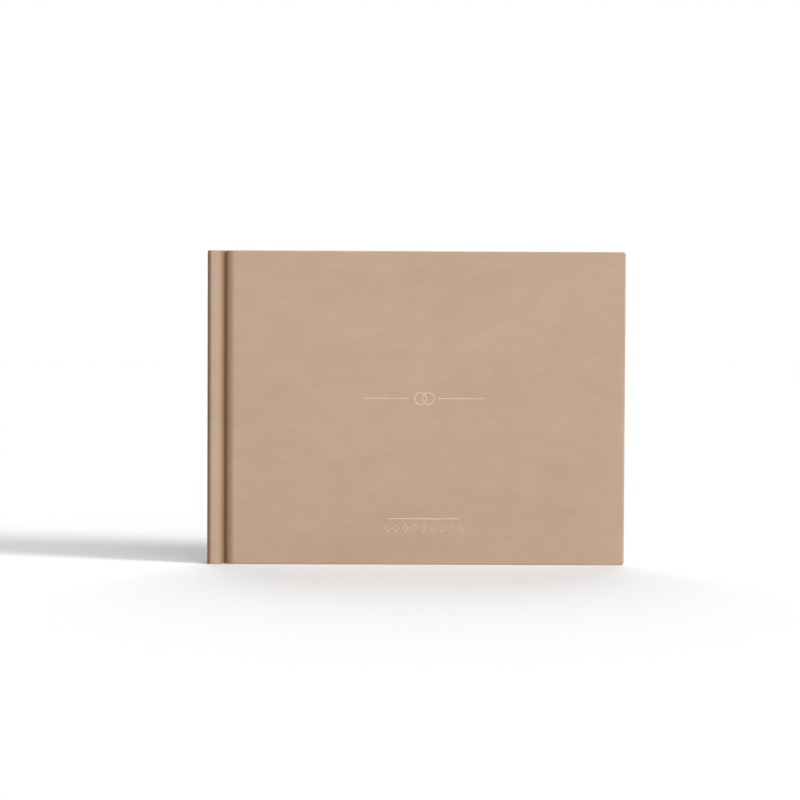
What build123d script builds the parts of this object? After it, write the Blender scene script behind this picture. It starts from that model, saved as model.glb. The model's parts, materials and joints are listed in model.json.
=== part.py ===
from build123d import *
import os

# A landscape hardcover guest book, closed and standing on its tail edge.
#
# Frame: +X runs from the spine to the fore-edge, -Y is the front cover's face and
# +Z is up. The origin is the middle of the footprint, on the surface it stands on.
#
# The case is five boards (two covers, two narrow hinge strips and the spine) under
# one suede cloth, pressed down into a joint groove beside each hinge strip. The
# block is eight sewn sections of three folded sheets between two folded endpapers.
# Sheets bend at the joint, so each one is two solids: the fold, bound into the
# spine, and the free leaf, which turns with its section.
#
# Everything at the front is made once, and what the back shares is its mirror image.

# ---------------------------------------------------------------- driving sizes, mm
CASE_WIDTH = 288.0
CASE_HEIGHT = 216.0
CASE_THICKNESS = 25.0
SQUARE = 3.0  # how far the case stands out past the leaves, all round

CLOTH = 0.7
COVER_BOARD = 2.6
INFILL = 0.7  # card that levels the turned-in cloth
TURN_IN = 15.0  # cloth folded over onto the inside of a cover
SPINE_BOARD = 2.4
CORNER_ROUND = 2.0  # corners of a cover, seen from the front
EDGE_ROUND = 1.1  # where the cloth folds round a board's edge

HINGE_STRIP_WIDTH = 9.4  # from the spine's face to the groove
SPINE_ROUND = 3.0  # long edges of the spine
STRIP_SHOULDER = 1.2
JOINT_FROM_SPINE = 12.6  # the groove's middle, where the cloth and the leaves bend
GROOVE_FLOOR = 1.8  # width of the groove's floor
COVER_FROM_SPINE = 18.3  # edge of the cover board beside the groove
SHOULDER_DROP = 0.4  # how far the cloth has sunk where it leaves that edge
SLOPE_FOOT = 0.3  # thickening where the sloping cloth meets the floor
JOINT_GAP = 0.15  # half the gap between what stays and what turns

SECTIONS = 8
SHEETS_PER_SECTION = 3
LEAF = 0.27
LEAF_GAP = 0.035
SECTION_GAP = 0.12
ENDPAPER = 0.25

THREAD_DIAMETER = 0.48
THREAD_STATIONS = 6
THREAD_MARGIN = 22.0  # from the head or tail of a fold to its nearest stitch
STITCH_SPACE = 0.5  # between the mull and the folds
MULL = 0.2
SPINE_LINER = 0.3
LINING_END = 8.0  # the linings stop this far inside the case's head and tail
CAP_TURN_IN = 12.0  # cloth folded over onto the inside of the spine board
CAP_CLOTH = 0.4  # that cloth is pared thin
BAND_BEAD = 2.0  # diameter of a headband's bead
BAND_TAPE = 0.3
BAND_TAPE_HEIGHT = 10.0
SLACK = 0.2  # room between loose layers inside the spine
GLUE_LINE = 0.02

FOIL_CENTRE_X = 5.6
TITLE_HEIGHT = 114.7  # of the stamped rings and hairlines, above the tail
RING_RADIUS = 4.5
RING_SPACING = 5.4
RING_STROKE = 0.95
HAIRLINE = 0.8
TITLE_WIDTH = 83.6
TITLE_BREAK = 19.0  # width left clear for the rings
RULE_HEIGHT = 31.75
RULE_WIDTH = 49.6
RULE_STROKE = 0.9
LOZENGE_HEIGHT = 25.2
LOZENGES = 9
LOZENGE_PITCH = 6.3
LOZENGE_WIDE = 4.2
LOZENGE_TALL = 6.0
LOZENGE_STROKE = 0.45
STAMP_DEPTH = 0.12
FOIL = 0.07

# ---------------------------------------------------------------- derived places
SPINE_X = -CASE_WIDTH / 2
FORE_X = CASE_WIDTH / 2
FACE_Y = -CASE_THICKNESS / 2  # outside of the front cover
BOARD_Y = FACE_Y + CLOTH
INFILL_Y = BOARD_Y + COVER_BOARD
PASTEDOWN_Y = INFILL_Y + INFILL

JOINT_X = SPINE_X + JOINT_FROM_SPINE
FIXED_END_X = JOINT_X - JOINT_GAP
TURNING_END_X = JOINT_X + JOINT_GAP
COVER_BOARD_X = SPINE_X + COVER_FROM_SPINE
STRIP_END_X = SPINE_X + HINGE_STRIP_WIDTH
SPINE_INSIDE_X = SPINE_X + CLOTH + SPINE_BOARD

LEAF_X = FORE_X - SQUARE
LEAF_Z = (SQUARE, CASE_HEIGHT - SQUARE)
LEAVES_PER_SECTION = 2 * SHEETS_PER_SECTION
SECTION_THICKNESS = LEAVES_PER_SECTION * LEAF + (LEAVES_PER_SECTION - 1) * LEAF_GAP
SECTION_PITCH = SECTION_THICKNESS + SECTION_GAP
FIRST_SECTION_Y = (SECTION_GAP - SECTIONS * SECTION_PITCH) / 2
FLYLEAF_Y = FIRST_SECTION_Y - SECTION_GAP - ENDPAPER

CAP_INSIDE_X = SPINE_INSIDE_X + CAP_CLOTH
LINER_X = CAP_INSIDE_X + SLACK
MULL_X = LINER_X + SPINE_LINER
THREAD_X = MULL_X + MULL
FOLD_X = THREAD_X + STITCH_SPACE


def block(x, y, z):
    """A box from its (low, high) limits along each axis."""
    size = [high - low for low, high in (x, y, z)]
    centre = [(high + low) / 2 for low, high in (x, y, z)]
    return Pos(*centre) * Box(*size)


def prism(points, z, rounds=()):
    """Extrudes an outline in X and Y between two heights, with rounded corners.

    rounds holds ((x, y), radius) for each corner that isn't sharp.
    """
    outline = make_face(Polyline(*points, close=True))
    for (x, y), radius in rounds:
        corner = outline.vertices().sort_by_distance(Vector(x, y, 0))[0]
        outline = fillet(corner, radius)
    return upright(outline, z)


def upright(outline, z):
    """Extrudes an outline in X and Y between two heights."""
    return Pos(0, 0, z[0]) * extrude(outline, z[1] - z[0], dir=(0, 0, 1))


def at_back(shape):
    """The mirror image of a front piece, at the back of the book."""
    return mirror(shape, about=Plane.XZ)


# ---------------------------------------------------------------- covers
def board_plate(y, inset, corner):
    """A plate inset from the case's outline, with rounded fore-edge corners."""
    plate = block((COVER_BOARD_X, FORE_X - inset), y, (inset, CASE_HEIGHT - inset))
    corners = plate.edges().filter_by(Axis.Y).sort_by(Axis.X)[-2:]
    return fillet(corners, corner)


def cover_board():
    return board_plate((BOARD_Y, INFILL_Y), CLOTH, CORNER_ROUND - CLOTH)


def cover_infill():
    """Card between the three turned-in edges of the cloth."""
    return block(
        (COVER_BOARD_X, FORE_X - TURN_IN),
        (INFILL_Y, PASTEDOWN_Y),
        (TURN_IN, CASE_HEIGHT - TURN_IN),
    )


def joint_cloth():
    """The cloth from the cover board's edge down to the middle of the groove.

    It spans a hollow beside the board, filled at head and tail by turned-in cloth.
    """
    floor_end = JOINT_X + GROOVE_FLOOR / 2
    under = [(COVER_BOARD_X, BOARD_Y), (floor_end + SLOPE_FOOT, PASTEDOWN_Y)]
    over = [
        (TURNING_END_X, PASTEDOWN_Y),
        (TURNING_END_X, INFILL_Y),
        (floor_end, INFILL_Y),
        (COVER_BOARD_X - CLOTH, FACE_Y + SHOULDER_DROP),
        (COVER_BOARD_X, FACE_Y),
    ]
    cloth = prism(over + under, (0, CASE_HEIGHT))
    for z in ((0, TURN_IN), (CASE_HEIGHT - TURN_IN, CASE_HEIGHT)):
        cloth += prism(under + [(COVER_BOARD_X, PASTEDOWN_Y)], z)
    return cloth


def cover_cloth():
    """Cloth over the face of a cover, round its three edges and turned in."""
    wrap = board_plate((FACE_Y, PASTEDOWN_Y), 0, CORNER_ROUND)
    on_face = wrap.edges().filter_by_position(Axis.Y, FACE_Y, FACE_Y)
    beside_groove = on_face.sort_by(Axis.X)[0]
    wrap = fillet([edge for edge in on_face if edge != beside_groove], EDGE_ROUND)
    return wrap + joint_cloth() - cover_board() - cover_infill()


def pastedown():
    return leaf(PASTEDOWN_Y, ENDPAPER)


# ---------------------------------------------------------------- stamped foil
def on_cover(outline, depth, thickness):
    """Extrudes an outline drawn in X and Z, starting that deep in the front face."""
    outline = Plane.XZ.offset(-FACE_Y - depth) * outline
    return extrude(outline, thickness, dir=(0, 1, 0))


def bar(width, height, x, z):
    return Pos(x, z) * Rectangle(width, height)


def title_outlines():
    """Two linked rings between two hairlines."""
    ring = Circle(RING_RADIUS) - Circle(RING_RADIUS - RING_STROKE)
    length = (TITLE_WIDTH - TITLE_BREAK) / 2
    rings = Sketch()
    hairlines = []
    for side in (-1, 1):
        ring_x = FOIL_CENTRE_X + side * RING_SPACING / 2
        line_x = FOIL_CENTRE_X + side * (TITLE_BREAK + length) / 2
        rings += Pos(ring_x, TITLE_HEIGHT) * ring
        hairlines.append(bar(length, HAIRLINE, line_x, TITLE_HEIGHT))
    return [rings, *hairlines]


def rule_outlines():
    return [bar(RULE_WIDTH, RULE_STROKE, FOIL_CENTRE_X, RULE_HEIGHT)]


def rhombus(half_width, half_height):
    return make_face(
        Polyline((half_width, 0), (0, half_height), (-half_width, 0), (0, -half_height), close=True)
    )


def lozenge_outlines():
    """A row of open lozenges, each a stroke of even width."""
    half_width, half_height = LOZENGE_WIDE / 2, LOZENGE_TALL / 2
    side = (half_width**2 + half_height**2) ** 0.5
    shrink = 1 - LOZENGE_STROKE * side / (half_width * half_height)
    lozenge = rhombus(half_width, half_height) - rhombus(half_width * shrink, half_height * shrink)
    middle = (LOZENGES - 1) / 2
    places = [FOIL_CENTRE_X + (i - middle) * LOZENGE_PITCH for i in range(LOZENGES)]
    return [Pos(x, LOZENGE_HEIGHT) * lozenge for x in places]


def foil(outlines):
    """Foil that lies on the floor of its stamped recess."""
    return Compound([on_cover(o, STAMP_DEPTH - FOIL, FOIL) for o in outlines])


def stamped(cloth, outlines):
    for outline in outlines:
        cloth -= on_cover(outline, 0, STAMP_DEPTH)
    return cloth


# ---------------------------------------------------------------- spine of the case
def mirrored_outline(front_half):
    """A closed outline from its front half, which runs from the spine inwards."""
    return front_half + [(x, -y) for x, y in reversed(front_half)]


def spine_case():
    """The outside of the spine unit: cloth and boards together, C-shaped."""
    front_half = [
        (SPINE_X, FACE_Y),
        (STRIP_END_X, FACE_Y),
        (JOINT_X - GROOVE_FLOOR / 2, INFILL_Y),
        (FIXED_END_X, INFILL_Y),
        (FIXED_END_X, PASTEDOWN_Y),
        (SPINE_INSIDE_X, PASTEDOWN_Y),
    ]
    rounds = [
        ((x, side * FACE_Y), radius)
        for side in (1, -1)
        for x, radius in ((SPINE_X, SPINE_ROUND), (STRIP_END_X, STRIP_SHOULDER))
    ]
    return prism(mirrored_outline(front_half), (0, CASE_HEIGHT), rounds)


def spine_board():
    return block(
        (SPINE_X + CLOTH, SPINE_INSIDE_X),
        (PASTEDOWN_Y, -PASTEDOWN_Y),
        (CLOTH, CASE_HEIGHT - CLOTH),
    )


def hinge_strip():
    """Narrow board beside the spine that stands as high as the cover."""
    left, right = SPINE_X + CLOTH, STRIP_END_X - CLOTH
    return prism(
        [(left, BOARD_Y), (right, BOARD_Y), (right, PASTEDOWN_Y), (left, PASTEDOWN_Y)],
        (CLOTH, CASE_HEIGHT - CLOTH),
        [((left, BOARD_Y), SPINE_ROUND - CLOTH), ((right, BOARD_Y), STRIP_SHOULDER / 2)],
    )


def spine_cloth():
    """Cloth round the spine and both hinge strips, turned in at head and tail."""
    cloth = spine_case() - spine_board() - hinge_strip() - at_back(hinge_strip())
    half = -PASTEDOWN_Y - SLACK
    for z in ((0, CAP_TURN_IN), (CASE_HEIGHT - CAP_TURN_IN, CASE_HEIGHT)):
        cloth += block((SPINE_INSIDE_X, CAP_INSIDE_X), (-half, half), z)
    return cloth


# ---------------------------------------------------------------- binding of the block
def spine_liner():
    return block(
        (LINER_X, MULL_X),
        (FLYLEAF_Y, -FLYLEAF_Y),
        (LINING_END, CASE_HEIGHT - LINING_END),
    )


def mull():
    """Open-weave cloth over the back of the block and onto both its sides."""
    front_half = [
        (MULL_X, PASTEDOWN_Y),
        (FIXED_END_X, PASTEDOWN_Y),
        (FIXED_END_X, PASTEDOWN_Y + MULL),
        (THREAD_X, PASTEDOWN_Y + MULL),
    ]
    return prism(mirrored_outline(front_half), (LINING_END, CASE_HEIGHT - LINING_END))


def sewing_thread():
    """The stitches that cross the backs of the sections, one at each station."""
    reach = -FIRST_SECTION_Y - SLACK
    low, high = LEAF_Z[0] + THREAD_MARGIN, LEAF_Z[1] - THREAD_MARGIN
    step = (high - low) / (THREAD_STATIONS - 1)
    stitch = Rot(90, 0, 0) * Cylinder(THREAD_DIAMETER / 2, 2 * reach)
    x = THREAD_X + STITCH_SPACE / 2
    return Compound([Pos(x, 0, low + i * step) * stitch for i in range(THREAD_STATIONS)])


def head_band():
    """A corded bead over the top of the folds, on a tape glued behind them."""
    reach = -FIRST_SECTION_Y
    top = LEAF_Z[1]
    tape_x = FOLD_X - (STITCH_SPACE - BAND_TAPE) / 2
    bead_z = top + BAND_BEAD / 2 + GLUE_LINE
    bead = Rot(90, 0, 0) * Cylinder(BAND_BEAD / 2, 2 * reach)
    tape_z = (top - BAND_TAPE_HEIGHT, bead_z)
    tape = block((tape_x - BAND_TAPE, tape_x), (-reach, reach), tape_z)
    return Pos(tape_x, 0, bead_z) * bead + tape


def tail_band():
    """The same band at the foot of the block."""
    middle = Plane.XY.offset(CASE_HEIGHT / 2)
    return mirror(head_band(), about=middle)


# ---------------------------------------------------------------- sheets
def folded_sheet(first_y, last_y, thickness, centre_x):
    """The bound part of a folded sheet: two leaves joined by a round fold."""
    middle = (first_y + last_y) / 2
    outer = (last_y - first_y) / 2
    inner = outer - thickness
    arcs = [
        ThreePointArc(
            (centre_x, middle - radius),
            (centre_x - radius, middle),
            (centre_x, middle + radius),
        )
        for radius in (outer, inner)
    ]
    straights = [
        Line((centre_x, middle + side * radius), (FIXED_END_X, middle + side * radius))
        for radius in (outer, inner)
        for side in (-1, 1)
    ]
    ends = [
        Line((FIXED_END_X, middle + side * inner), (FIXED_END_X, middle + side * outer))
        for side in (-1, 1)
    ]
    return upright(make_face(arcs + straights + ends), LEAF_Z)


def endpaper_fold():
    """The fold between a pastedown and its flyleaf, over the mull's edge."""
    first, last = PASTEDOWN_Y + MULL + GLUE_LINE, FLYLEAF_Y + ENDPAPER
    return folded_sheet(first, last, ENDPAPER, FOLD_X + (last - first) / 2)


def section_y(number):
    """Where a section starts, counted from 1 at the front."""
    return FIRST_SECTION_Y + (number - 1) * SECTION_PITCH


def section_fold(number):
    """The bound parts of a section's sheets, one inside another."""
    first = section_y(number)
    last = first + SECTION_THICKNESS
    centre_x = FOLD_X + SECTION_THICKNESS / 2
    insets = [depth * (LEAF + LEAF_GAP) for depth in range(SHEETS_PER_SECTION)]
    return Compound(
        [folded_sheet(first + inset, last - inset, LEAF, centre_x) for inset in insets]
    )


def leaf(start_y, thickness):
    """The free part of one leaf, from the joint to the fore-edge."""
    return block((TURNING_END_X, LEAF_X), (start_y, start_y + thickness), LEAF_Z)


def section_leaves(number):
    start = section_y(number)
    pitch = LEAF + LEAF_GAP
    return Compound([leaf(start + i * pitch, LEAF) for i in range(LEAVES_PER_SECTION)])


# ---------------------------------------------------------------- assembly
def nodes():
    """Every named piece of the book."""
    title, rule, lozenges = title_outlines(), rule_outlines(), lozenge_outlines()
    plain_cloth = cover_cloth()
    flyleaf = leaf(FLYLEAF_Y, ENDPAPER)
    pieces = {
        "front_covering": stamped(plain_cloth, title + rule + lozenges),
        "front_board": cover_board(),
        "front_infill": cover_infill(),
        "front_pastedown": pastedown(),
        "title_foil": foil(title),
        "rule_foil": foil(rule),
        "lozenge_foil": foil(lozenges),
        "front_flyleaf": flyleaf,
        "front_endpaper_fold": endpaper_fold(),
        "front_hinge_strip": hinge_strip(),
        "spine_covering": spine_cloth(),
        "spine_board": spine_board(),
        "spine_liner": spine_liner(),
        "mull": mull(),
        "sewing_thread": sewing_thread(),
        "head_band": head_band(),
        "tail_band": tail_band(),
        "back_hinge_strip": at_back(hinge_strip()),
        "back_endpaper_fold": at_back(endpaper_fold()),
        "back_flyleaf": at_back(flyleaf),
        "back_pastedown": at_back(pastedown()),
        "back_infill": at_back(cover_infill()),
        "back_board": at_back(cover_board()),
        "back_covering": at_back(plain_cloth),
    }
    for number in range(1, SECTIONS + 1):
        pieces[f"section_{number}"] = section_leaves(number)
        pieces[f"section_{number}_fold"] = section_fold(number)
    return pieces


os.makedirs("parts", exist_ok=True)
for name, shape in nodes().items():
    export_step(shape, f"parts/{name}.step")
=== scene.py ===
import json
import math
import random
from contextlib import contextmanager

import bmesh
import bpy
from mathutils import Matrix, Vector


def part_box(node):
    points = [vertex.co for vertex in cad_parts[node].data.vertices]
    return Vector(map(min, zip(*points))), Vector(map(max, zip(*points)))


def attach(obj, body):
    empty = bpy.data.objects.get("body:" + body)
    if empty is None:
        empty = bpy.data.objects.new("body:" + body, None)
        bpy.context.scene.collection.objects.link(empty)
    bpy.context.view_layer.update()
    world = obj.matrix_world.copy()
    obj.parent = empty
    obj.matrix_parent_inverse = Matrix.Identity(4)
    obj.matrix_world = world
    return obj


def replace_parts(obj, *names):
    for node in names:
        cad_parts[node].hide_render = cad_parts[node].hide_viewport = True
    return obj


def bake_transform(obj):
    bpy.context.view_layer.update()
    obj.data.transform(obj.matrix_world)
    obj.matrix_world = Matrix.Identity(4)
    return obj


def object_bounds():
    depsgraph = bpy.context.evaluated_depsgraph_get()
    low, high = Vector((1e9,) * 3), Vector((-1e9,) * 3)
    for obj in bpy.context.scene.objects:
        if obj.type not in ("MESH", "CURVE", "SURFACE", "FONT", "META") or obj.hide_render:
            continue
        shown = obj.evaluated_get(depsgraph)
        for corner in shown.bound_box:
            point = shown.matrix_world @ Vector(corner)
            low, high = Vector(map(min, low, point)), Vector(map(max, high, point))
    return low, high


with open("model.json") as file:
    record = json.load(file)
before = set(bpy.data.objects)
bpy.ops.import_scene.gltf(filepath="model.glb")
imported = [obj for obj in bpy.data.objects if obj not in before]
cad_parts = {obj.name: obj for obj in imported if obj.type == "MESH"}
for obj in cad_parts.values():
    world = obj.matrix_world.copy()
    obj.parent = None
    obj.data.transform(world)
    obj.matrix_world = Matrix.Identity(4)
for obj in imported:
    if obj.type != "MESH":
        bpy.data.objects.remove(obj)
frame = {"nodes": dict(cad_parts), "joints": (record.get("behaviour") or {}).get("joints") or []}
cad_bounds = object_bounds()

# A landscape hardcover guest book in suede cloth, closed and standing on its tail edge.
#
# The boards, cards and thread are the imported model's own, with a finish. Everything
# thin or soft is modelled here: the cloth of the case, the endpapers, the folded sheets
# of each section, the mull, the headbands and the stamped foil.

# ------------------------------------------------------------------ sizes, in metres
MM = 0.001

CLOTH = 0.4 * MM
TURN_IN = 15 * MM  # cloth folded over onto the inside of the boards
RIM_ROUND = 0.85 * MM  # where the cloth goes round the edges of the boards
CORNER_ROUND = 2 * MM
SPINE_ROUND = 3 * MM
GROOVE_DEPTH = 3.1 * MM
GROOVE_FLOOR = 0.5 * MM
STRIP_WIDTH = 9.6 * MM  # of the raised band beside the spine
SHOULDER_ROUND = 3.4 * MM  # where that band falls into the groove
BOARD_ROUND = 6 * MM  # where the groove rises onto the cover
BOARD_OVERHANG = 1.2 * MM  # the cloth leaves the cover's board this far beyond it
BORDER = 2.4 * MM  # band inside each edge that takes up the shading of the rim
SPINE_WALL = 3.5 * MM  # board and both layers of cloth
STRIP_CLEARANCE = 0.02 * MM  # from the cloth to the strips beside the spine

ENDPAPER = 0.25 * MM
LEAF = 0.27 * MM
SHEETS = 3  # in a section
SECTIONS = 8
TRIM = 0.16 * MM  # the most that a leaf's edge lies behind its neighbours'
CLOTH_BEND = 3.6 * MM  # how far each side of the joint the cloth bends
LEAF_BEND = (-0.5 * MM, 34 * MM)  # where the closely spaced places along a leaf start and end
LEAF_BEND_STEPS = 40

PASTEDOWN_STEP = 2 * MM  # over which an endpaper rises from the mull to the cover

FOIL = 0.07 * MM
POCKET_GROW = 0.08 * MM  # the stamp's recess is this much wider than its foil
RING_SIDES = 96
RING_STROKE = 0.95 * MM
RING_SPACING = 5.4 * MM
TITLE_BREAK = 19 * MM  # left clear for the rings between the hairlines
HAIRLINE = 0.8 * MM
LOZENGES = 9
LOZENGE_WIDE = 4.2 * MM
LOZENGE_STROKE = 0.45 * MM

MULL = 0.18 * MM
BAND_TURNS = 26  # of silk round a headband's cord
BAND_THREAD = 0.55  # radius of a turn of silk, as a share of their spacing
BAND_TAPE = 0.25 * MM


# ------------------------------------------------------------------ places in the frame
spine_x, fore_x = cad_bounds[0].x, cad_bounds[1].x
face_y = cad_bounds[1].y  # half the thickness of the case
head_z = cad_bounds[1].z
front_y = -face_y
inner_y = -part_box("front_covering")[1].y - STRIP_CLEARANCE
inside_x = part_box("spine_covering")[0].x + SPINE_WALL
board_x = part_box("front_board")[0].x
leaf_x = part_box("section_1")[1].x
leaf_z = (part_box("section_1")[0].z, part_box("section_1")[1].z)
hinge = Vector(next(j["pos_m"] for j in frame["joints"] if j["name"] == "front_cover_hinge"))
joint_x = hinge.x


def middle_y(node):
    low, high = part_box(node)
    return (low.y + high.y) / 2


# ------------------------------------------------------------------ modelling helpers
def alone(piece):
    """Selects one piece, and nothing else."""
    bpy.ops.object.select_all(action="DESELECT")
    piece.select_set(True)
    bpy.context.view_layer.objects.active = piece


@contextmanager
def editing(piece):
    """Edit mode on one piece."""
    alone(piece)
    bpy.ops.object.mode_set(mode="EDIT")
    yield
    bpy.ops.object.mode_set(mode="OBJECT")


def pick(piece, kind, rule):
    """Selects the vertices, edges or faces that pass a rule, and nothing else."""
    bpy.ops.mesh.select_mode(type=kind)
    bpy.ops.mesh.select_all(action="DESELECT")
    mesh = bmesh.from_edit_mesh(piece.data)
    for element in {"VERT": mesh.verts, "EDGE": mesh.edges, "FACE": mesh.faces}[kind]:
        if rule(element):
            element.select_set(True)
    bmesh.update_edit_mesh(piece.data)


def near(a, b):
    return abs(a - b) < 0.01 * MM


def middle(edge):
    return (edge.verts[0].co + edge.verts[1].co) / 2


def settled(piece):
    """Moves a piece's place from its object into its mesh."""
    alone(piece)
    bpy.ops.object.transform_apply(location=True, rotation=True, scale=True)
    return piece


def modified(piece, kind, **settings):
    """Adds a modifier, sets it and applies it."""
    alone(piece)
    modifier = piece.modifiers.new(kind.title(), kind)
    for name, value in settings.items():
        setattr(modifier, name, value)
    bpy.ops.object.modifier_apply(modifier=modifier.name)
    return piece


def smooth(piece, angle=35):
    alone(piece)
    bpy.ops.object.shade_smooth_by_angle(angle=math.radians(angle))
    return piece


def drawn(name, points):
    """A chain of edges through the points, made by extruding one vertex."""
    bpy.ops.mesh.primitive_plane_add(size=MM, location=points[0])
    piece = settled(bpy.context.object)
    piece.name = name
    with editing(piece):
        bpy.ops.mesh.select_mode(type="VERT")
        bpy.ops.mesh.select_all(action="SELECT")
        bpy.ops.mesh.merge(type="CENTER")
        for start, end in zip(points, points[1:]):
            step = Vector(end) - Vector(start)
            bpy.ops.mesh.extrude_region_move(TRANSFORM_OT_translate={"value": step})
    return piece


def arc(centre, radius, start, end, steps):
    """Points on an arc in X and Y, from one angle in degrees to another."""
    turns = [math.radians(start + (end - start) * i / steps) for i in range(steps + 1)]
    return [(centre[0] + radius * math.cos(t), centre[1] + radius * math.sin(t)) for t in turns]


def rounded(corners):
    """An outline in X and Y from (x, y, radius) corners; a radius of 0 stays sharp."""
    points = []
    count = len(corners)
    for i, (x, y, radius) in enumerate(corners):
        here = Vector((x, y))
        if not radius:
            points.append((x, y))
            continue
        before = (Vector(corners[i - 1][:2]) - here).normalized()
        after = (Vector(corners[(i + 1) % count][:2]) - here).normalized()
        half = before.angle(after) / 2
        centre = here + (before + after).normalized() * radius / math.sin(half)
        start = here + before * radius / math.tan(half) - centre
        end = here + after * radius / math.tan(half) - centre
        turn = start.angle_signed(end)
        steps = max(3, round(math.degrees(abs(turn)) / 9))
        for k in range(steps + 1):
            angle = math.atan2(start.y, start.x) - turn * k / steps
            points.append((centre.x + radius * math.cos(angle), centre.y + radius * math.sin(angle)))
    return points


def cut(axis, places):
    """In edit mode, cuts the whole mesh across an axis at each place."""
    normal = Vector((0, 0, 0))
    normal[axis] = 1
    for place in places:
        bpy.ops.mesh.select_all(action="SELECT")
        bpy.ops.mesh.bisect(plane_co=normal * place, plane_no=normal)


def spread(start, end, count):
    """Places evenly between two ends, without the ends."""
    return [start + (end - start) * i / (count + 1) for i in range(1, count + 1)]


def copied(piece, name, move):
    """A copy with its own mesh, moved."""
    twin = piece.copy()
    twin.data = piece.data.copy()
    twin.name = name
    bpy.context.scene.collection.objects.link(twin)
    with editing(twin):
        bpy.ops.mesh.select_all(action="SELECT")
        bpy.ops.transform.translate(value=move)
    return twin


def in_row(piece, count, step):
    """The piece and its copies, one step apart."""
    step = Vector(step)
    return [piece, *[copied(piece, piece.name, step * i) for i in range(1, count)]]


def joined(name, pieces):
    """One piece from several that are made alike."""
    alone(pieces[0])
    for piece in pieces:
        piece.select_set(True)
    if len(pieces) > 1:
        bpy.ops.object.join()
    pieces[0].name = name
    return pieces[0]


# ------------------------------------------------------------------ shader helpers
class Wire:
    """A shader value. Python's operators on it add Math nodes."""

    def __init__(self, finish, socket):
        self.finish = finish
        self.socket = socket

    def math(self, operation, *values):
        sockets = dict(enumerate(values))
        return self.finish.node("Math", {"operation": operation}, sockets)

    def __add__(self, other):
        return self.math("ADD", self, other)

    __radd__ = __add__

    def __sub__(self, other):
        return self.math("SUBTRACT", self, other)

    def __rsub__(self, other):
        return self.math("SUBTRACT", other, self)

    def __mul__(self, other):
        return self.math("MULTIPLY", self, other)

    __rmul__ = __mul__

    def __abs__(self):
        return self.math("ABSOLUTE", self)

    def sine(self):
        return self.math("SINE", self)

    def or_more(self, other):
        """The larger of two values."""
        return self.math("MAXIMUM", self, other)


class Finish:
    """A material that is being built."""

    def __init__(self, name, **constants):
        self.material = bpy.data.materials.new(name)
        self.material.use_nodes = True
        self.tree = self.material.node_tree
        self.shader = self.tree.nodes["Principled BSDF"]
        for socket, value in constants.items():
            self.shader.inputs[socket.replace("_", " ")].default_value = value

    def node(self, kind, settings, sockets, output=0):
        """Adds a node, with its settings first and then its sockets' values or links."""
        node = self.tree.nodes.new("ShaderNode" + kind)
        for name, value in settings.items():
            if name == "stops":
                self.set_stops(node.color_ramp, value)
            else:
                setattr(node, name, value)
        for key, value in sockets.items():
            self.plug(node.inputs[key], value)
        return Wire(self, node.outputs[output])

    def set_stops(self, ramp, stops):
        while len(ramp.elements) < len(stops):
            ramp.elements.new(1)
        for element, (place, colour) in zip(ramp.elements, stops):
            element.position = place
            element.color = (*colour, 1)

    def plug(self, socket, value):
        if isinstance(value, Wire):
            self.tree.links.new(value.socket, socket)
        elif socket.type == "RGBA":
            socket.default_value = (*value, 1)
        else:
            socket.default_value = value

    def place(self, scale=(1, 1, 1), turn=(0, 0, 0)):
        """Object coordinates, stretched or turned."""
        spot = self.node("TexCoord", {}, {}, "Object")
        return self.node("Mapping", {}, {"Vector": spot, "Scale": scale, "Rotation": turn})

    def along(self, axis):
        """The place along X, Y or Z."""
        return self.node("SeparateXYZ", {}, {0: self.place()}, axis)

    def noise(self, size, place=None, detail=2, roughness=0.5, distortion=0.0):
        """Noise between 0 and 1, with features of about that size in metres."""
        sockets = {"Scale": 1 / size, "Detail": detail, "Roughness": roughness, "Distortion": distortion}
        sockets["Vector"] = place or self.place()
        return self.node("TexNoise", {}, sockets)

    def ramp(self, value, low, high, start=0.0, end=1.0, kind="SMOOTHSTEP"):
        """Maps a value from one range to another, and stops at its ends."""
        sockets = {"Value": value, "From Min": low, "From Max": high, "To Min": start, "To Max": end}
        return self.node("MapRange", {"interpolation_type": kind}, sockets)

    def blend(self, factor, first, second, mode="MIX"):
        """Mixes two colours."""
        settings = {"data_type": "RGBA", "blend_type": mode}
        return self.node("Mix", settings, {0: factor, 6: first, 7: second}, 2)

    def shades(self, factor, stops):
        """A colour ramp."""
        return self.node("ValToRGB", {"stops": stops}, {"Fac": factor})

    def bump(self, height, distance, strength=1.0, under=None):
        sockets = {"Height": height, "Distance": distance, "Strength": strength}
        if under:
            sockets["Normal"] = under
        return self.node("Bump", {}, sockets)

    def done(self, **sockets):
        """Plugs what changes over the surface into the shader."""
        for name, value in sockets.items():
            self.plug(self.shader.inputs[name.replace("_", " ")], value)
        return self.material


def finished(piece, material):
    piece.data.materials.clear()
    piece.data.materials.append(material)
    return piece


# ------------------------------------------------------------------ finishes
# Painted shade across the joint groove, from the spine's side to the cover's: the groove's shadow and
# occlusion multiplied into the cloth's colour, with a slight painted highlight where it rises onto the
# cover, and a little real darkening of the iron-pressed nap.
GROOVE_PAINTED_SHADE = [
    (0.10, (1.00, 1.00, 1.00)),
    (0.20, (0.76, 0.74, 0.71)),
    (0.32, (0.46, 0.42, 0.38)),
    (0.42, (0.34, 0.30, 0.26)),
    (0.49, (0.38, 0.31, 0.24)),
    (0.58, (0.74, 0.65, 0.54)),
    (0.68, (1.00, 0.94, 0.85)),
    (0.80, (1.07, 1.03, 0.97)),
    (0.94, (1.00, 1.00, 1.00)),
]
# Painted shade round the spine's long edges, multiplied into the cloth's colour.
SPINE_EDGE_PAINTED_SHADE = (0.56, 0.55, 0.52)
SCUFFED_NAP = (0.60, 0.45, 0.35)
SUEDE = [
    (0.30, (0.486, 0.343, 0.247)),
    (0.50, (0.511, 0.363, 0.263)),
    (0.70, (0.536, 0.383, 0.279)),
]


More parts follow.
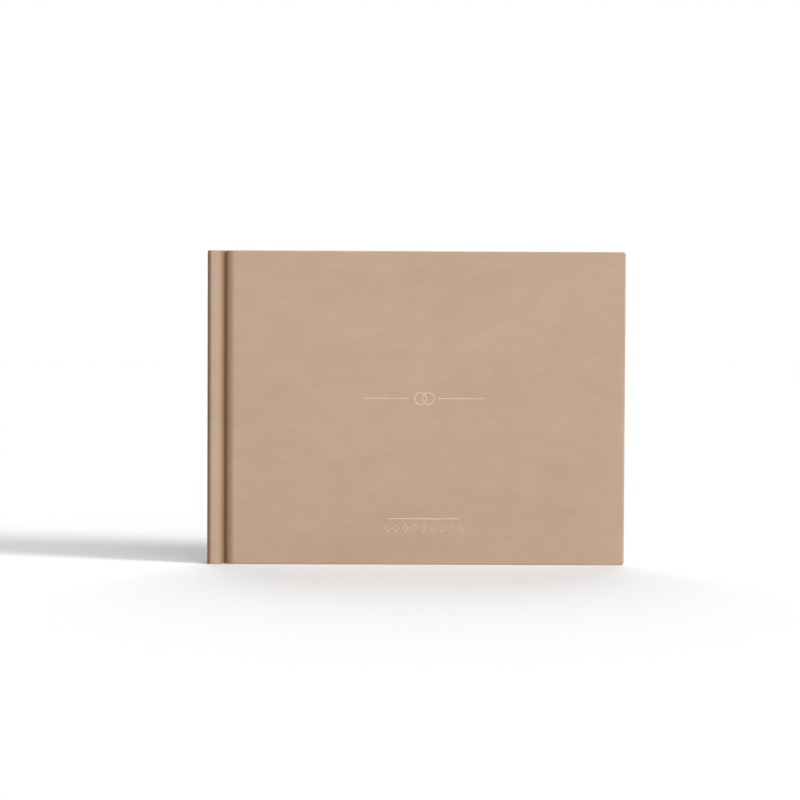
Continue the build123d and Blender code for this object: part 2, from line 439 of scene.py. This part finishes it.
def groove_painted_shade(f, colour):
    """Paints the groove's shade into the nap's colour, on the outside of the case only; the pressed nap
    is a little darker too.
    """
    across = f.ramp(f.along("X"), joint_x - 6 * MM, joint_x + 6 * MM, kind="LINEAR")
    outside = f.ramp(abs(f.along("Y")), inner_y + 0.3 * MM, inner_y + 0.8 * MM)
    return f.blend(outside, colour, f.shades(across, GROOVE_PAINTED_SHADE), "MULTIPLY")


def spine_edge_painted_shade(f, colour):
    """Paints shade into the nap round the long edges of the spine, where the rounding turns away from
    the light; rubbed nap there is a little darker as well.
    """
    near_spine = f.ramp(f.along("X"), spine_x + 4 * MM, spine_x + 1 * MM)
    near_face = f.ramp(abs(f.along("Y")), face_y - 4 * MM, face_y - MM)
    return f.blend(near_spine * near_face, colour, SPINE_EDGE_PAINTED_SHADE, "MULTIPLY")


def scuffed_rim(f, colour, patches):
    """A paler nap here and there, where the edges of the boards wear it."""
    from_middle = abs(f.along("Z") - head_z / 2)
    rim = f.ramp(from_middle, head_z / 2 - 1.6 * MM, head_z / 2)
    rim = rim.or_more(f.ramp(f.along("X"), fore_x - 1.6 * MM, fore_x))
    return f.blend(rim * f.ramp(patches, 0.40, 0.60) * 0.28, colour, SCUFFED_NAP)


def suede_finish():
    """Binding cloth with a short suede nap that clouds a little where it is stroked."""
    f = Finish("suede_cloth", Sheen_Weight=0.08, Sheen_Roughness=0.5, Specular_IOR_Level=0.1)
    f.shader.inputs["Sheen Tint"].default_value = (0.95, 0.80, 0.68, 1)
    clouds = f.noise(30 * MM, f.place((0.75, 1, 1.1)), 4, 0.6, 0.5)
    strokes = f.noise(9 * MM, f.place((0.6, 1, 1.3)), 3, 0.6)
    nap = f.noise(0.55 * MM, None, 4, 0.65)
    fibres = f.noise(0.16 * MM, f.place((0.6, 1, 1)), 2, 0.6)
    base = f.shades(clouds * 0.62 + strokes * 0.38, SUEDE)
    shade = f.ramp(nap * 0.6 + fibres * 0.4, 0.3, 0.7, 0.90, 1.08)
    grey = f.node("CombineXYZ", {}, {0: shade, 1: shade, 2: shade})
    # painted shade: the joint groove's shadow is multiplied into the cloth's colour
    colour = groove_painted_shade(f, f.blend(1.0, base, grey, "MULTIPLY"))
    # painted shade round the spine's long edges; the paler scuffs along the rim are wear
    colour = scuffed_rim(f, spine_edge_painted_shade(f, colour), strokes * 0.5 + nap * 0.5)
    pile = f.bump(nap, 0.09 * MM, 0.55)
    pile = f.bump(fibres, 0.05 * MM, 0.5, pile)
    pile = f.bump(strokes, 0.25 * MM, 0.25, pile)
    rough = f.ramp(clouds, 0.3, 0.7, 0.90, 0.82)
    return f.done(Base_Color=colour, Roughness=rough, Normal=pile)


def paper_finish(name, light, dark, fibre=0.5):
    """Uncoated paper: faint mottling and short fibres."""
    f = Finish(name, Specular_IOR_Level=0.25)
    mottle = f.noise(6 * MM, None, 3)
    tooth = f.noise(0.25 * MM, None, 3, 0.6)
    strands = f.noise(0.5 * MM, f.place((0.25, 1, 1)), 2, 0.5, 0.8)
    colour = f.blend(f.ramp(mottle * 0.6 + strands * 0.4, 0.35, 0.65), dark, light)
    grain = f.bump(tooth, 0.03 * MM, fibre)
    grain = f.bump(strands, 0.03 * MM, fibre * 0.6, grain)
    return f.done(Base_Color=colour, Roughness=f.ramp(tooth, 0.3, 0.7, 0.78, 0.9), Normal=grain)


def board_finish(name, light, dark):
    """Pulp board with coarse fibres and flecks."""
    f = Finish(name, Specular_IOR_Level=0.2)
    pulp = f.noise(1.6 * MM, None, 4, 0.65)
    flecks = f.ramp(f.noise(0.5 * MM, None, 2, 0.5), 0.66, 0.74)
    colour = f.blend(pulp, dark, light)
    colour = f.blend(flecks * 0.5, colour, tuple(c * 0.45 for c in dark))
    rough = f.ramp(pulp, 0.3, 0.7, 0.8, 0.95)
    return f.done(Base_Color=colour, Roughness=rough, Normal=f.bump(pulp, 0.1 * MM, 0.7))


def foil_finish():
    """Pale gold stamping foil that follows the nap under it and misses a few specks of it."""
    f = Finish("gold_foil")
    wrinkle = f.noise(0.35 * MM, None, 4, 0.6)
    worn = f.ramp(f.noise(1.4 * MM, None, 3, 0.6), 0.35, 0.65)
    missed = f.ramp(f.noise(0.28 * MM, None, 2, 0.5), 0.66, 0.70)
    colour = f.blend(worn, (0.84, 0.66, 0.48), (0.93, 0.77, 0.58))
    colour = f.blend(missed, colour, (0.50, 0.35, 0.25))
    rough = f.ramp(wrinkle, 0.3, 0.7, 0.30, 0.50) + missed * 0.3
    follow = f.bump(wrinkle, 0.05 * MM, 0.6)
    return f.done(Base_Color=colour, Metallic=0.8 - missed * 0.8, Roughness=rough, Normal=follow)


def weave_finish(name, light, dark, pitch, gaps=0.0):
    """Plain weave in Y and Z; gaps is how much of it is open."""
    f = Finish(name, Specular_IOR_Level=0.2)
    warp = abs((f.along("Y") * (math.pi / pitch)).sine())
    weft = abs((f.along("Z") * (math.pi / pitch)).sine())
    thread = warp.or_more(weft)
    fuzz = f.noise(0.2 * MM, None, 3, 0.6)
    colour = f.blend(f.ramp(thread * 0.8 + fuzz * 0.2, 0.4, 1.0), dark, light)
    sockets = {"Base_Color": colour, "Roughness": f.ramp(fuzz, 0.3, 0.7, 0.8, 0.95)}
    sockets["Normal"] = f.bump(thread, 0.12 * MM, 0.8)
    if gaps:
        sockets["Alpha"] = f.ramp(thread, gaps - 0.05, gaps + 0.05)
    return f.done(**sockets)


def thread_finish(name, light, dark, pitch=0.35 * MM):
    """Spun thread: slanting strands along Y."""
    f = Finish(name, Specular_IOR_Level=0.3, Sheen_Weight=0.2)
    settings = {"wave_type": "BANDS", "bands_direction": "DIAGONAL"}
    sockets = {"Vector": f.place(), "Scale": 0.3 / pitch, "Distortion": 1.0, "Detail": 2.0}
    strands = f.node("TexWave", settings, sockets, 1)
    colour = f.blend(strands, dark, light)
    rough = f.ramp(strands, 0, 1, 0.75, 0.6)
    return f.done(Base_Color=colour, Roughness=rough, Normal=f.bump(strands, 0.06 * MM, 0.8))


suede = suede_finish()
endpaper = paper_finish("endpaper", (0.615, 0.57, 0.49), (0.60, 0.552, 0.468), 0.35)
page_paper = paper_finish("page_paper", (0.65, 0.63, 0.582), (0.638, 0.616, 0.567), 0.4)
greyboard = board_finish("greyboard", (0.34, 0.31, 0.27), (0.27, 0.245, 0.21))
infill_card = board_finish("infill_card", (0.72, 0.70, 0.65), (0.64, 0.62, 0.57))
kraft = paper_finish("liner_paper", (0.50, 0.36, 0.22), (0.42, 0.29, 0.17), 1.0)
gold = foil_finish()
gauze = weave_finish("mull_cloth", (0.84, 0.81, 0.74), (0.62, 0.59, 0.52), 1.1 * MM, 0.62)
band_tape = weave_finish("band_tape", (0.80, 0.74, 0.64), (0.58, 0.52, 0.43), 0.4 * MM)
band_pale = thread_finish("band_silk_pale", (0.64, 0.58, 0.48), (0.52, 0.46, 0.37))
band_tan = thread_finish("band_silk_tan", (0.38, 0.25, 0.165), (0.28, 0.18, 0.115))
linen = thread_finish("linen_thread", (0.84, 0.81, 0.72), (0.66, 0.62, 0.53))


# ------------------------------------------------------------------ cloth of the case
def case_outline(side):
    """The cloth's section across the spine, joint groove and cover, in X and Y."""
    groove_y = face_y - GROOVE_DEPTH
    floor = (joint_x - GROOVE_FLOOR / 2, joint_x + GROOVE_FLOOR / 2)
    corners = [
        (spine_x, 0, 0),
        (spine_x, face_y, SPINE_ROUND),
        (spine_x + STRIP_WIDTH, face_y, SHOULDER_ROUND),
        (floor[0], groove_y, 0.5 * MM),
        (floor[1], groove_y, 0.8 * MM),
        (board_x - BOARD_OVERHANG, face_y, BOARD_ROUND),
        (fore_x, face_y, 0),
        (fore_x, inner_y, 0),
        (inside_x, inner_y, 0),
        (inside_x, 0, 0),
    ]
    return [(x, side * y) for x, y in rounded(corners)]


def is_level(edge, height):
    return all(near(v.co.z, height) for v in edge.verts)


def is_outer_rim(edge, side):
    """Edges where the outside turns over onto the head, the tail or the fore-edge."""
    normals = [f.normal for f in edge.link_faces]
    if len(normals) != 2 or normals[0].angle(normals[1]) <= math.radians(60):
        return False
    spot = middle(edge)
    lining = spot.x >= inside_x - 0.05 * MM and abs(spot.y) <= inner_y + 0.05 * MM
    seam = all(near(v.co.y, 0) for v in edge.verts)
    if lining or seam:
        return False
    on_face = all(near(v.co.y, side * face_y) for v in edge.verts)
    return on_face or is_level(edge, 0) or is_level(edge, head_z)


def is_fore_corner(edge):
    return near(middle(edge).x, fore_x) and near(edge.verts[0].co.z, edge.verts[1].co.z)


def is_open(face):
    """Faces where the case has no cloth: the seam, and within the turn-ins."""
    spot = face.calc_center_median()
    seam = near(spot.y, 0) and abs(face.normal.y) > 0.9
    within = TURN_IN < spot.z < head_z - TURN_IN
    lining = near(abs(spot.y), inner_y) and spot.x < fore_x - TURN_IN
    return seam or (within and (lining or near(spot.x, inside_x)))


def case_cloth(name, side):
    """The cloth over half of the case, from the middle of the spine to the fore-edge.

    side is -1 at the front of the book and 1 at the back.
    """
    cloth = drawn(name, [(x, y, 0) for x, y in case_outline(side)])
    with editing(cloth):
        bpy.ops.mesh.select_mode(type="VERT")
        bpy.ops.mesh.select_all(action="SELECT")
        bpy.ops.mesh.edge_face_add()
        bpy.ops.mesh.extrude_region_move(TRANSFORM_OT_translate={"value": (0, 0, head_z)})
        bpy.ops.mesh.select_all(action="SELECT")
        bpy.ops.mesh.normals_make_consistent(inside=False)

        pick(cloth, "EDGE", is_fore_corner)
        bpy.ops.mesh.bevel(offset=CORNER_ROUND, segments=6, affect="EDGES", clamp_overlap=False)
        pick(cloth, "EDGE", lambda edge: is_outer_rim(edge, side))
        bpy.ops.mesh.bevel(offset=RIM_ROUND, segments=5, affect="EDGES", clamp_overlap=False)

        bend = spread(joint_x - CLOTH_BEND, joint_x + CLOTH_BEND + 1.5 * MM, 14)
        cut(0, [*bend, fore_x - TURN_IN, fore_x - BORDER])
        cut(2, [BORDER, TURN_IN, head_z - TURN_IN, head_z - BORDER])
        pick(cloth, "FACE", is_open)
        bpy.ops.mesh.delete(type="FACE")
    return modified(cloth, "SOLIDIFY", thickness=CLOTH, offset=-1, use_even_offset=True)


front_cloth = case_cloth("front_case_cloth", -1)
back_cloth = case_cloth("back_case_cloth", 1)


# ------------------------------------------------------------------ stamped foil
title_low, title_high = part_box("title_foil")
rule_low, rule_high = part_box("rule_foil")
lozenge_low, lozenge_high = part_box("lozenge_foil")
foil_y = middle_y("title_foil")
title_z = (title_low.z + title_high.z) / 2
lozenge_z = (lozenge_low.z + lozenge_high.z) / 2


def open_frame(sides, half_size, centre, stroke, grow, depth):
    """A closed stroke of foil of even width: a ring, or a lozenge when it has four sides.

    half_size is its outer half width and half height; grow widens the stroke on both sides.
    """
    slant = math.hypot(*half_size) / half_size[0] if sides == 4 else 1
    half_height = half_size[1] + grow / 2 * slant
    bpy.ops.mesh.primitive_circle_add(
        vertices=sides,
        radius=half_height,
        fill_type="NGON",
        rotation=(math.pi / 2, 0, 0),
    )
    piece = bpy.context.object
    piece.scale = (half_size[0] / half_size[1], 1, 1)
    settled(piece)
    with editing(piece):
        bpy.ops.mesh.select_mode(type="FACE")
        bpy.ops.mesh.select_all(action="SELECT")
        bpy.ops.mesh.inset(thickness=stroke + grow)
        bpy.ops.mesh.delete(type="FACE")
        bpy.ops.mesh.select_all(action="SELECT")
        bpy.ops.mesh.extrude_region_move(TRANSFORM_OT_translate={"value": (0, depth, 0)})
        bpy.ops.mesh.select_all(action="SELECT")
        bpy.ops.mesh.normals_make_consistent(inside=False)
        bpy.ops.transform.translate(value=(centre[0], foil_y - depth / 2, centre[1]))
    return piece


def bar(low, high, grow, depth):
    """A straight stroke of foil with rounded corners."""
    centre = ((low[0] + high[0]) / 2, foil_y, (low[1] + high[1]) / 2)
    bpy.ops.mesh.primitive_cube_add(size=1, location=centre)
    piece = bpy.context.object
    piece.scale = (high[0] - low[0] + grow, depth, high[1] - low[1] + grow)
    settled(piece)
    with editing(piece):
        pick(piece, "EDGE", lambda e: abs((e.verts[0].co - e.verts[1].co).y) > depth / 2)
        bpy.ops.mesh.bevel(offset=(high[1] - low[1]) * 0.35, segments=4, affect="EDGES")
    return piece


def title_pieces(grow, depth):
    """Two linked rings between two hairlines."""
    centre = (title_low.x + title_high.x) / 2
    radius = (title_high.z - title_low.z) / 2
    first = (centre - RING_SPACING / 2, title_z)
    ring = open_frame(RING_SIDES, (radius, radius), first, RING_STROKE, grow, depth)
    rings, second = in_row(ring, 2, (RING_SPACING, 0, 0))
    modified(rings, "BOOLEAN", object=second, operation="UNION", solver="EXACT")
    bpy.data.objects.remove(second)
    end = (centre - TITLE_BREAK / 2, title_z + HAIRLINE / 2)
    hairline = bar((title_low.x, title_z - HAIRLINE / 2), end, grow, depth)
    return [rings, *in_row(hairline, 2, (centre + TITLE_BREAK / 2 - title_low.x, 0, 0))]


def rule_pieces(grow, depth):
    return [bar((rule_low.x, rule_low.z), (rule_high.x, rule_high.z), grow, depth)]


def lozenge_pieces(grow, depth):
    """A row of open lozenges."""
    half_size = (LOZENGE_WIDE / 2, (lozenge_high.z - lozenge_low.z) / 2)
    first = (lozenge_low.x + half_size[0], lozenge_z)
    pitch = (lozenge_high.x - lozenge_low.x - LOZENGE_WIDE) / (LOZENGES - 1)
    lozenge = open_frame(4, half_size, first, LOZENGE_STROKE, grow, depth)
    return in_row(lozenge, LOZENGES, (pitch, 0, 0))


def stamped(cloth):
    """Sinks the stamp's recesses into the cloth, as deep as the foil's back."""
    depth = 2 * (foil_y + FOIL / 2 - front_y)
    for make in (title_pieces, rule_pieces, lozenge_pieces):
        for cutter in make(POCKET_GROW, depth):
            modified(cloth, "BOOLEAN", object=cutter, operation="DIFFERENCE", solver="EXACT")
            bpy.data.objects.remove(cutter)


stamped(front_cloth)
foils = {
    "title_foil": joined("title_stamping", title_pieces(0, FOIL)),
    "rule_foil": joined("rule_stamping", rule_pieces(0, FOIL)),
    "lozenge_foil": joined("lozenge_stamping", lozenge_pieces(0, FOIL)),
}
for node, piece in foils.items():
    smooth(finished(piece, gold), 40)
    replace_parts(piece, node)
    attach(piece, "front_cover")

for cloth, cover in ((front_cloth, "front"), (back_cloth, "back")):
    smooth(finished(cloth, suede))
    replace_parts(cloth, f"{cover}_covering", "spine_covering")
    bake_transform(cloth)


# ------------------------------------------------------------------ endpapers and leaves
def upright_sheet(name, profile, thickness, z=leaf_z):
    """Paper that stands on its profile: drawn, extruded up and given its thickness."""
    sheet = drawn(name, [(x, y, z[0]) for x, y in profile])
    with editing(sheet):
        bpy.ops.mesh.select_mode(type="VERT")
        bpy.ops.mesh.select_all(action="SELECT")
        bpy.ops.mesh.extrude_region_move(TRANSFORM_OT_translate={"value": (0, 0, z[1] - z[0])})
    modified(sheet, "SOLIDIFY", thickness=thickness, offset=0, use_even_offset=True)
    return sheet


def leaf_places(start):
    """Places along a leaf from its fold to its fore-edge, close together just past the joint."""
    bend = (joint_x + LEAF_BEND[0], joint_x + LEAF_BEND[1])
    flat = spread(bend[1], leaf_x, 3)
    return [start, bend[0], *spread(*bend, LEAF_BEND_STEPS), bend[1], *flat, leaf_x]


def pasted_profile(side, fold, half, paste_y):
    """From the fold, over the mull and onto the cover's board."""
    outer_y = fold[1] + side * half
    clear = 0.2 * MM
    bend = spread(joint_x - CLOTH_BEND, joint_x + CLOTH_BEND, 14)
    profile = arc(fold, half, 180, 180 - side * 90, 3)
    profile += [(x, outer_y) for x in bend if x < joint_x - PASTEDOWN_STEP - clear]
    profile.append((joint_x - PASTEDOWN_STEP, outer_y))
    profile.append((joint_x - PASTEDOWN_STEP / 2, (outer_y + paste_y) / 2))
    profile.append((joint_x, paste_y))
    profile += [(x, paste_y) for x in bend if x > joint_x + clear]
    return profile + [(x, paste_y) for x in [*spread(joint_x + CLOTH_BEND, leaf_x, 3), leaf_x]]


def endpapers(side, cover):
    """A folded endpaper: one half is pasted to the cover and the other is the flyleaf."""
    low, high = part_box(f"{cover}_endpaper_fold")
    half = (high.y - low.y - ENDPAPER) / 2
    fold = (low.x + half + ENDPAPER / 2, middle_y(f"{cover}_endpaper_fold"))
    profile = pasted_profile(side, fold, half, middle_y(f"{cover}_pastedown"))
    pastedown = upright_sheet(f"{cover}_pasted_endpaper", profile, ENDPAPER)
    profile = arc(fold, half, 180, 180 + side * 90, 3)
    profile += [(x, middle_y(f"{cover}_flyleaf")) for x in leaf_places(fold[0] + MM)]
    flyleaf = upright_sheet(f"{cover}_free_endpaper", profile, ENDPAPER)

    for piece in (pastedown, flyleaf):
        smooth(finished(piece, endpaper), 40)
    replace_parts(pastedown, f"{cover}_pastedown", f"{cover}_endpaper_fold")
    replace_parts(flyleaf, f"{cover}_flyleaf", f"{cover}_endpaper_fold")
    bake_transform(pastedown)
    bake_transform(flyleaf)


def folded_section():
    """Three folded sheets, one inside another, with their middle at y = 0."""
    low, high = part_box("section_1")
    fold_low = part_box("section_1_fold")[0]
    half = (high.y - low.y) / 2
    pitch = LEAF + (2 * half - 2 * SHEETS * LEAF) / (2 * SHEETS - 1)
    centre_x = fold_low.x + half
    sheets = []
    for depth in range(SHEETS):
        reach = half - LEAF / 2 - depth * pitch
        out = leaf_places(centre_x + MM)
        fold = arc((centre_x, 0), reach, 270, 90, 8)
        profile = [(x, -reach) for x in reversed(out)] + fold + [(x, reach) for x in out]
        sheets.append(upright_sheet(f"sheet_{depth + 1}", profile, LEAF))
    return joined("folded_section", sheets)


def trimmed(section, seed):
    """Lets each leaf end a hair's breadth from its neighbours, as trimmed paper does."""
    chance = random.Random(seed)
    low = min(v.co.y for v in section.data.vertices)
    pitch = (max(v.co.y for v in section.data.vertices) - low) / (2 * SHEETS)
    short = [[chance.uniform(0, TRIM) for _ in range(3)] for _ in range(2 * SHEETS)]
    for vertex in section.data.vertices:
        leaf = min(2 * SHEETS - 1, int((vertex.co.y - low) / pitch))
        fore, head, tail = short[leaf]
        if vertex.co.x > leaf_x - MM:
            vertex.co.x -= fore
        if vertex.co.x > joint_x:
            vertex.co.z += tail if vertex.co.z < head_z / 2 else -head


pattern = folded_section()
for number in range(1, SECTIONS + 1):
    place = (0, middle_y(f"section_{number}"), 0)
    section = copied(pattern, f"folded_section_{number}", place)
    trimmed(section, number)
    smooth(finished(section, page_paper), 40)
    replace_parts(section, f"section_{number}", f"section_{number}_fold")
    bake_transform(section)
bpy.data.objects.remove(pattern)

endpapers(-1, "front")
endpapers(1, "back")


# ------------------------------------------------------------------ inside the spine
def mull_lining():
    """Gauze over the back of the block and along both its sides."""
    low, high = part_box("mull")
    back_x, side_y = low.x + MULL / 2, high.y - MULL / 2
    profile = [(high.x, -side_y), (back_x, -side_y), (back_x, side_y), (high.x, side_y)]
    lining = upright_sheet("mull_lining", profile, MULL, (low.z, high.z))
    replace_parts(finished(lining, gauze), "mull")
    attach(lining, "spine")


def wound_silk(name, centre, radius, low_y, high_y):
    """A cord wound with pale silk, and every fourth turn with tan."""
    step = (high_y - low_y) / BAND_TURNS
    bpy.ops.mesh.primitive_torus_add(
        major_radius=radius - step * BAND_THREAD,
        minor_radius=step * BAND_THREAD,
        major_segments=18,
        minor_segments=6,
        location=(centre[0], low_y + step / 2, centre[1]),
        rotation=(math.pi / 2, 0, 0),
    )
    turns = in_row(settled(bpy.context.object), BAND_TURNS, (0, step, 0))
    bpy.ops.mesh.primitive_cylinder_add(
        vertices=16,
        radius=radius - step * 0.6,
        depth=high_y - low_y - 0.1 * MM,
        location=(centre[0], (low_y + high_y) / 2, centre[1]),
        rotation=(math.pi / 2, 0, 0),
    )
    core = settled(bpy.context.object)
    tan = turns[3::4]
    pale = [turn for turn in turns if turn not in tan]
    return joined(f"{name}_silk_pale", [core, *pale]), joined(f"{name}_silk_tan", tan)


def headband(name, up):
    """Silk wound in two colours over a cord, on a woven tape; up is 1 at the head."""
    low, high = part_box(name)
    bead = (high.x - low.x) / 2
    centre = ((low.x + high.x) / 2, high.z - bead if up > 0 else low.z + bead)
    pale, tan = wound_silk(name, centre, bead, low.y, high.y)
    tape_x = centre[0] - 0.15 * MM
    tape_z = sorted((low.z if up > 0 else high.z, centre[1]))
    profile = [(tape_x, low.y), (tape_x, high.y)]
    tape = upright_sheet(f"{name}_tape", profile, BAND_TAPE, tape_z)
    for piece, finish in ((pale, band_pale), (tan, band_tan), (tape, band_tape)):
        smooth(finished(piece, finish), 50)
        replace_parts(piece, name)
        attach(piece, "spine")


mull_lining()
headband("head_band", 1)
headband("tail_band", -1)


# ------------------------------------------------------------------ pieces kept from the model
kept = {
    greyboard: ["front_board", "back_board", "spine_board", "front_hinge_strip", "back_hinge_strip"],
    infill_card: ["front_infill", "back_infill"],
    kraft: ["spine_liner"],
    linen: ["sewing_thread"],
}
for material, names in kept.items():
    for name in names:
        finished(frame["nodes"][name], material)


# ------------------------------------------------------------------ stage, light and camera
WORLD_FILL = 0.19
CAMERA_AT = Vector((-25.7, -1312.7, 146.3)) * MM
YAW, PITCH, ROLL = 0.63, -1.44, -0.25  # degrees


def floor():
    bpy.ops.mesh.primitive_plane_add(size=40, location=(0, 0, 0))
    plane = bpy.context.object
    plane.name = "floor"
    f = Finish("floor_paint", Roughness=0.9, Specular_IOR_Level=0.1)
    finished(plane, f.done(Base_Color=(0.915, 0.925, 0.935)))


def surroundings():
    """A white studio: bright where the camera looks, softer as a light."""
    world = bpy.data.worlds.new("studio")
    bpy.context.scene.world = world
    world.use_nodes = True
    nodes, links = world.node_tree.nodes, world.node_tree.links
    fill = nodes["Background"]
    fill.inputs["Color"].default_value = (1, 1, 1, 1)
    fill.inputs["Strength"].default_value = WORLD_FILL
    seen = nodes.new("ShaderNodeBackground")
    seen.inputs["Color"].default_value = (1, 1, 1, 1)
    seen.inputs["Strength"].default_value = 1.0
    ray = nodes.new("ShaderNodeLightPath")
    mix = nodes.new("ShaderNodeMixShader")
    links.new(ray.outputs["Is Camera Ray"], mix.inputs[0])
    links.new(fill.outputs[0], mix.inputs[1])
    links.new(seen.outputs[0], mix.inputs[2])
    links.new(mix.outputs[0], nodes["World Output"].inputs["Surface"])


def softbox(name, azimuth, elevation, strength, softness):
    """A far, soft light. Its azimuth goes from the front of the book towards +X."""
    data = bpy.data.lights.new(name, "SUN")
    data.energy = strength
    data.angle = math.radians(softness)
    light = bpy.data.objects.new(name, data)
    bpy.context.scene.collection.objects.link(light)
    light.rotation_euler = (math.radians(90 - elevation), 0, math.radians(azimuth))


def camera():
    data = bpy.data.cameras.new("camera")
    data.lens = 85
    view = bpy.data.objects.new("camera", data)
    bpy.context.scene.collection.objects.link(view)
    view.location = CAMERA_AT
    view.rotation_euler = (math.radians(90 + PITCH), math.radians(ROLL), math.radians(-YAW))
    bpy.context.scene.camera = view


floor()
surroundings()
softbox("key", 68, 23, 2.95, 15)
softbox("front", 40, 42, 1.0, 50)
softbox("back", 180, 45, 1.45, 50)
camera()
bpy.context.scene.view_settings.view_transform = "Standard"
